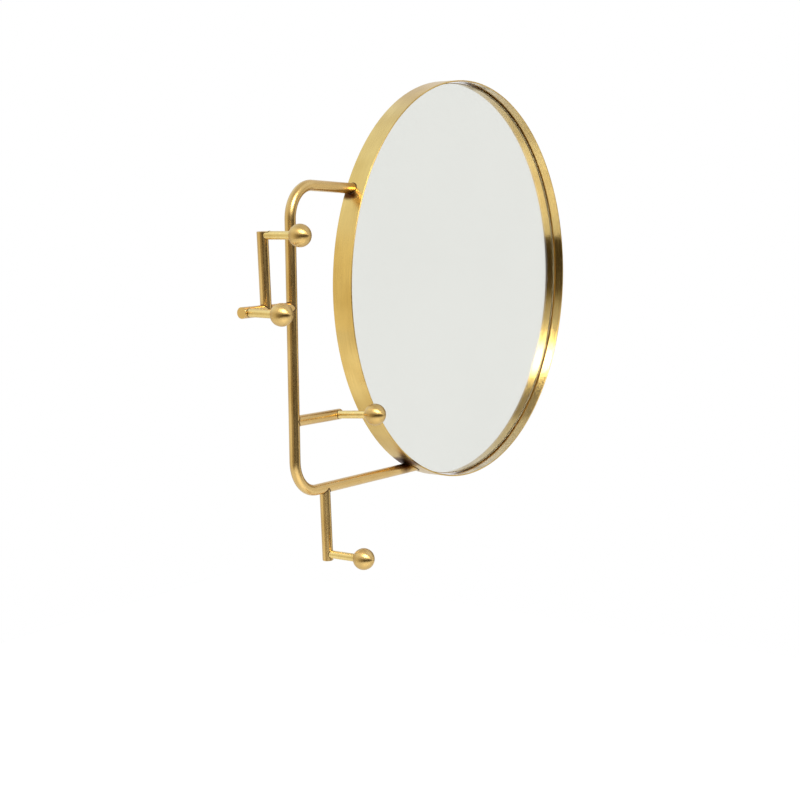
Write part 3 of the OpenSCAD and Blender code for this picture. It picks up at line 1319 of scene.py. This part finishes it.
@dataclass(frozen=True)
class HookTree:
    """The four branches that hang on the rail.

    Args:
        rail: The rail that carries them.
        arm_drop: Drop from the upper joint on the band to the upper arm.
        post_offset: Distance from the upright to the post on the upper arm.
        lean: Lean of the post and of the lower branch, in degrees.
        arm_rise: Rise from the lower joint on the band to the middle arm.
        arm_fall: Fall of the middle arm from its root, in degrees.
        drop_offset: Distance from the upright to the branch under the lower run.
        arm_reach: Distance from the upper arm's root to its peg.
        post_reach: The same for the post.
        middle_reach: The same for the middle arm.
        drop_reach: The same for the lower branch.
        arm_turn: Turn of the upper arm's hook about its tube, in degrees.
        middle_turn: The same for the middle arm.
        ball: Finish of the balls.
        peg_painted_light_colour: Linear colour of the pegs, which are paler: painted light, a brighter
            copy of the balls' brass.
    """

    rail: SideRail
    arm_drop: float = 0.157
    post_offset: float = 0.0535
    lean: float = 2.4
    arm_rise: float = 0.1023
    arm_fall: float = 0.9
    drop_offset: float = 0.0645
    arm_reach: float = 0.094
    post_reach: float = 0.0975
    middle_reach: float = 0.092
    drop_reach: float = 0.094
    arm_turn: float = 0.9
    middle_turn: float = 4.0
    ball: BrushedBrass = BrushedBrass(
        "ball_brass",
        Lay.TURNED,
        colour=(0.70, 0.478, 0.178),
        roughness=0.34,
        line_depth=0.000012,
        anisotropy=0.85,
    )
    # painted light: the pegs are a paler copy of the balls' brass
    peg_painted_light_colour: Colour = (0.83, 0.62, 0.235)

    def branches(self) -> list[HookBranch]:
        """Places the four branches from the rail.

        Returns:
            The branches, each after its parent.
        """
        rail = self.rail
        upper, lower = rail.runs
        x, y = rail.axis_x, rail.axis_y
        arm_root = Vector((x, y, upper.joint(rail).z - self.arm_drop))
        post_root = arm_root - Vector((self.post_offset, 0.0, 0.0))
        middle_root = Vector((x, y, lower.joint(rail).z + self.arm_rise))
        drop_root = Vector((x + self.drop_offset, y, lower.height(rail, x + self.drop_offset)))
        left = Vector((-1.0, 0.0, 0.0))
        lean, fall = math.radians(self.lean), math.radians(self.arm_fall)
        up = Vector((-math.sin(lean), 0.0, math.cos(lean)))
        right = Vector((math.cos(fall), 0.0, -math.sin(fall)))
        level, upright = Lay.ALONG_X, Lay.ALONG_Z
        rows = (
            ("upper_arm", "side_rail", arm_root, left, self.arm_reach, level, self.arm_turn),
            ("upper_post", "upper_arm", post_root, up, self.post_reach, upright),
            ("middle_arm", "side_rail", middle_root, right, self.middle_reach, level, self.middle_turn),
            ("lower_drop", "side_rail", drop_root, -up, self.drop_reach, upright),
        )
        return [HookBranch(*row) for row in rows]

    def build(self, seam_shade_finish: bpy.types.Material) -> None:
        """Builds the branches one by one.

        Args:
            seam_shade_finish: Finish of the seams.
        """
        # painted light: the pegs get a paler copy of the balls' brass
        peg = replace(self.ball, name="peg_brass_painted_light", colour=self.peg_painted_light_colour)
        turned = {"_peg": peg.material(), "_ball": self.ball.material()}
        for branch in self.branches():
            branch.build(turned, seam_shade_finish)


@dataclass(frozen=True)
class DrumFrame:
    """The rolled band round the glass.

    Args:
        rail: The rail that is welded to it.
        colour: Linear colour of its brass.
        roughness: Mean roughness.
        anisotropy: How far a highlight is drawn out across its lines.
        polish_depth: Distance in from its outside at which its polished inner wall starts.
        polish: How much smoother the inner wall is.
        rim_y: y in front of which its rim is ground.
        rim_dulling: How much rougher the rim is.
    """

    rail: SideRail
    colour: Colour = (0.70, 0.478, 0.150)
    roughness: float = 0.24
    anisotropy: float = 0.8
    polish_depth: float = 0.0019
    polish: float = 0.08
    rim_y: float = -0.0315
    rim_dulling: float = 0.25

    def build(self) -> None:
        """Dresses the band."""
        finish = BrushedBrass(
            "band_brass",
            Lay.ROUND_FRAME,
            self.colour,
            self.roughness,
            anisotropy=self.anisotropy,
            corners=self.rail.corners,
            polish=(self.rail.frame_radius - self.polish_depth, self.polish),
            rim=(self.rim_y, self.rim_dulling),
        )
        dress("frame_band", finish.material())


@dataclass
class BackHardware:
    """The board, tape, tabs, hangers and screws behind the glass.

    Args:
        finishes: The finish of each node.
    """

    finishes: dict[str, PlainFinish] = field(
        default_factory=lambda: {
            "bonding_tape": FOAM,
            "backing_panel": BOARD,
            "panel_tabs": ZINC,
            "hanger_plate_left": ZINC,
            "hanger_plate_right": ZINC,
            "tab_screws": SCREW_ZINC,
            "hanger_screws": SCREW_ZINC,
        }
    )

    def build(self) -> None:
        """Dresses each piece, with one material for each finish."""
        made = {f.name: f.material() for f in self.finishes.values()}
        for node, finish in self.finishes.items():
            dress(node, made[finish.name])


# ---------------------------------------------------------------- studio


@dataclass(frozen=True)
class RoomPatch:
    """A soft-edged patch of the room, as the brass sees it.

    Args:
        azimuth: Its middle, round Z from +X, in degrees.
        width: Half its width, in degrees.
        elevation: Its middle above the horizon, in degrees.
        height: Half its height, in degrees.
        level: Its linear colour.
        soft: Half the width of its soft edge, in degrees.
    """

    azimuth: float
    width: float
    elevation: float
    height: float
    level: Colour
    soft: float = 7.0

    def mask(self, nodes: Nodes, way: Socket) -> Socket:
        """Finds the directions that lie inside the patch.

        Args:
            nodes: The nodes of the world.
            way: The direction that is looked in.

        Returns:
            The output that carries 1 inside the patch and 0 outside it.
        """
        angle = math.radians(self.azimuth)
        ahead = (math.cos(angle), math.sin(angle), 0.0)
        aside = (-math.sin(angle), math.cos(angle), 0.0)
        turned = nodes.math("ARCTAN2", nodes.dot(way, aside), nodes.dot(way, ahead))
        height = nodes.math("ARCSINE", nodes.split(way)[2])
        middle = math.radians(self.elevation)
        inside = []
        for offset, half in (
            (turned, self.width),
            (nodes.math("SUBTRACT", height, middle), self.height),
        ):
            edges = (math.radians(half - self.soft), math.radians(half + self.soft))
            inside.append(nodes.ramp(nodes.math("ABSOLUTE", offset), *edges, 1.0, 0.0))
        return nodes.math("MULTIPLY", *inside)


@dataclass(frozen=True)
class FloorPool:
    """A soft round pool of light on the floor.

    Args:
        x: x of its middle.
        y: y of its middle.
        radius: Its radius.
        strength: What it adds to the floor's own light.
        soft: Half the width of its soft edge.
    """

    x: float
    y: float
    radius: float
    strength: float
    soft: float = 0.45

    def glow(self, nodes: Nodes, point: Socket) -> Socket:
        """Returns the output that carries the pool's strength at a place on the floor."""
        away = nodes.length(nodes.vector("SUBTRACT", point, (self.x, self.y, 0.0)))
        return nodes.ramp(away, self.radius - self.soft, self.radius + self.soft, self.strength, 0.0)


FIRST_REFLECTION = 1.5  # between the Glossy Depth of a first and of a second reflection


def seen_plainly(nodes: Nodes, path: Outputs) -> Socket:
    """Finds the rays that come from the camera, also by way of the mirror, but not of the brass.

    Args:
        nodes: The nodes of the world or of the floor.
        path: The outputs of a Light Path node.

    Returns:
        The output that carries 1 for such a ray and 0 for another.
    """
    once = nodes.math("LESS_THAN", path["Glossy Depth"], FIRST_REFLECTION)
    mirrored = nodes.math("MULTIPLY", path["Is Transmission Ray"], once)
    return nodes.math("MAXIMUM", path["Is Camera Ray"], mirrored)


# azimuth, width, elevation, height, level and soft edge; each patch lies over those before it
ROOM = (
    RoomPatch(0, 400, 90, 32, (0.80, 0.82, 0.86)),
    RoomPatch(0, 400, -90, 26, (0.62, 0.62, 0.60)),
    RoomPatch(95, 47, 40, 20, (1.04, 1.20, 1.42), 9),
    RoomPatch(170, 30, 38, 14, (0.94, 0.94, 0.94), 10),
    RoomPatch(306, 26, 40, 20, (0.98, 1.08, 1.32), 9),
    RoomPatch(235, 42, 60, 12, (0.45, 0.44, 0.46), 8),
    RoomPatch(272, 24, 26, 11, (1.02, 1.04, 1.08)),
    RoomPatch(245, 62, -46, 17, (1.09, 1.09, 1.06), 10),
    RoomPatch(146, 18, 2, 20, (1.02, 1.00, 0.85), 8),
    RoomPatch(140, 26, -29, 14, (1.15, 1.13, 1.00), 9),
    RoomPatch(350, 30, -2, 24, (0.28, 0.26, 0.22), 8),
    RoomPatch(327, 11, 0, 20, (0.98, 0.98, 0.98), 4),
    RoomPatch(190, 27, -9, 25, (0.36, 0.31, 0.23)),
    RoomPatch(216, 14, -14, 14, (0.15, 0.13, 0.10), 5),
    RoomPatch(258, 53, -4, 13, (0.05, 0.036, 0.018), 5),
)


@dataclass
class Studio:
    """The camera, the lamp, the surroundings and the floor.

    Args:
        camera_place: The camera's place.
        camera_way: The direction in which it looks.
        camera_up: The direction that is up in the picture.
        focal_px: Focal length in pixels, for a picture that is picture_px wide.
        picture_px: Width of that picture.
        sensor: Width of the camera's sensor, in millimetres.
        sight: How far the camera sees.
        floor_z: Height of the floor.
        floor_size: Length of the floor's sides.
        floor_tones: The two linear colours that the floor's clouds mix.
        floor_noise: Scale and detail of the clouds.
        floor_roughness: Roughness of the floor.
        pools: The two bright pools on the floor, which the brass shows.
        seen_glow: Light of the floor as the camera sees it, also by way of the mirror.
        near_glow: What is added to it where the camera sees the floor itself.
        room_light: Linear colour of the room where no patch lies.
        softbox_target: The place that the lamp faces.
        softbox_azimuth: Where the lamp hangs, round Z from +X, in degrees.
        softbox_elevation: Its angle above the horizon, in degrees.
        softbox_distance: Its distance from the place that it faces.
        softbox_width: Its width.
        softbox_height: Its height.
        softbox_watts: Its power, in watts.
    """

    camera_place: Vector = field(default_factory=lambda: Vector((-2.0278, -1.3115, 0.1262)))
    camera_way: Vector = field(default_factory=lambda: Vector((0.81453, 0.56583, -0.12801)))
    camera_up: Vector = field(default_factory=lambda: Vector((0.11165, 0.06363, 0.99171)))
    focal_px: float = 1566.3
    picture_px: float = 800.0
    sensor: float = 36.0
    sight: float = 100.0
    floor_z: float = -1.45
    floor_size: float = 6.0
    floor_tones: tuple[Colour, Colour] = ((0.80, 0.80, 0.79), (0.82, 0.82, 0.81))
    floor_noise: tuple[float, float] = (3.0, 4.0)
    floor_roughness: float = 0.8
    pools: tuple[FloorPool, FloorPool] = (
        FloorPool(x=-0.80, y=-1.25, radius=0.90, strength=0.40),
        FloorPool(x=-1.65, y=1.45, radius=1.0, strength=0.20),
    )
    seen_glow: float = 0.15
    near_glow: float = 0.17
    room_light: Colour = (0.85, 0.87, 0.92)
    softbox_target: Vector = field(default_factory=lambda: Vector((-0.15, -0.03, 0.0)))
    softbox_azimuth: float = 242.0
    softbox_elevation: float = 37.5
    softbox_distance: float = 5.0
    softbox_width: float = 3.0
    softbox_height: float = 2.3
    softbox_watts: float = 208.0

    def camera(self) -> None:
        """Places the camera where the photograph was taken."""
        data = bpy.data.cameras.new("camera")
        data.sensor_width = self.sensor
        data.lens = self.sensor * self.focal_px / self.picture_px
        data.clip_end = self.sight
        back = -self.camera_way.normalized()
        right = self.camera_up.cross(back).normalized()
        up = back.cross(right)
        turn = Matrix((right, up, back)).transposed().to_4x4()
        camera = bpy.data.objects.new("camera", data)
        camera.matrix_world = Matrix.Translation(self.camera_place) @ turn
        bpy.context.scene.collection.objects.link(camera)
        bpy.context.scene.camera = camera
        log.info("placed the camera")

    def softbox(self) -> None:
        """Hangs the large soft lamp above the camera, behind it and to its right."""
        azimuth = math.radians(self.softbox_azimuth)
        elevation = math.radians(self.softbox_elevation)
        way = Vector(
            (
                math.cos(azimuth) * math.cos(elevation),
                math.sin(azimuth) * math.cos(elevation),
                math.sin(elevation),
            )
        )
        data = bpy.data.lights.new("softbox", "AREA")
        data.shape = "RECTANGLE"
        data.size = self.softbox_width
        data.size_y = self.softbox_height
        data.energy = self.softbox_watts
        lamp = bpy.data.objects.new("softbox", data)
        lamp.location = self.softbox_target + way * self.softbox_distance
        lamp.rotation_mode = "QUATERNION"
        lamp.rotation_quaternion = way.to_track_quat("Z", "Y")
        lamp.visible_camera = False
        bpy.context.scene.collection.objects.link(lamp)
        log.info("hung the softbox")

    def surroundings(self) -> None:
        """Makes a pale room with a dark side, which the camera and the mirror see as plain white."""
        world = bpy.data.worlds.new("studio")
        bpy.context.scene.world = world
        world.use_nodes = True
        nodes = Nodes(world.node_tree)
        world.node_tree.nodes.clear()
        way = nodes.add("ShaderNodeTexCoord").outputs["Generated"]
        level = self.room_light
        for patch in ROOM:
            level = nodes.mix(patch.mask(nodes, way), level, patch.level)
        room = nodes.add("ShaderNodeBackground", {"Color": level, "Strength": 1.0})
        plain = nodes.add("ShaderNodeBackground", {"Color": WHITE, "Strength": 1.0})
        seen = seen_plainly(nodes, nodes.add("ShaderNodeLightPath").outputs)
        both = nodes.add("ShaderNodeMixShader", {0: seen, 1: room.outputs[0], 2: plain.outputs[0]})
        nodes.add("ShaderNodeOutputWorld", {"Surface": both.outputs[0]})
        log.info("made the surroundings")

    def floor(self) -> None:
        """Lays a pale floor that keeps the shadow of the mirror."""
        deselect_all()
        bpy.ops.mesh.primitive_plane_add(size=self.floor_size, location=(0.0, 0.0, self.floor_z))
        floor = bpy.context.active_object
        floor.name = "floor"
        surface = Surface("pale_floor")
        cloud = surface.ramp(surface.noise(surface.point, *self.floor_noise), *EVEN)
        path = surface.add("ShaderNodeLightPath").outputs
        glow = surface.math("ADD", *(pool.glow(surface, surface.point) for pool in self.pools))
        glow = surface.math("MULTIPLY", path["Is Glossy Ray"], glow)
        glow = surface.math("MULTIPLY_ADD", seen_plainly(surface, path), self.seen_glow, glow)
        glow = surface.math("MULTIPLY_ADD", path["Is Camera Ray"], self.near_glow, glow)
        inputs = {
            "Base Color": surface.mix(cloud, *self.floor_tones),
            "Roughness": self.floor_roughness,
            "Emission Color": WHITE,
            "Emission Strength": glow,
        }
        surface.feed(surface.shader, inputs)
        floor.data.materials.append(surface.material)
        log.info("laid the floor")

    def build(self) -> None:
        """Sets the whole studio up, with plain colours in the picture."""
        bpy.context.scene.view_settings.view_transform = "Standard"
        self.camera()
        self.surroundings()
        self.softbox()
        self.floor()


def main() -> None:
    """Builds the studio and each sub-assembly in order."""
    logging.basicConfig(level=logging.INFO, format="%(name)s: %(message)s")
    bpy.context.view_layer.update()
    Studio().build()
    # the seams' dark finish is painted contact shade in the joints
    seam_shade_finish = PaintedSeamShade().material()
    rail = SideRail()
    DrumFrame(rail).build()
    MirrorPane().build()
    rail.build(seam_shade_finish)
    HookTree(rail).build(seam_shade_finish)
    BackHardware().build()


if __name__ == "__main__":
    main()
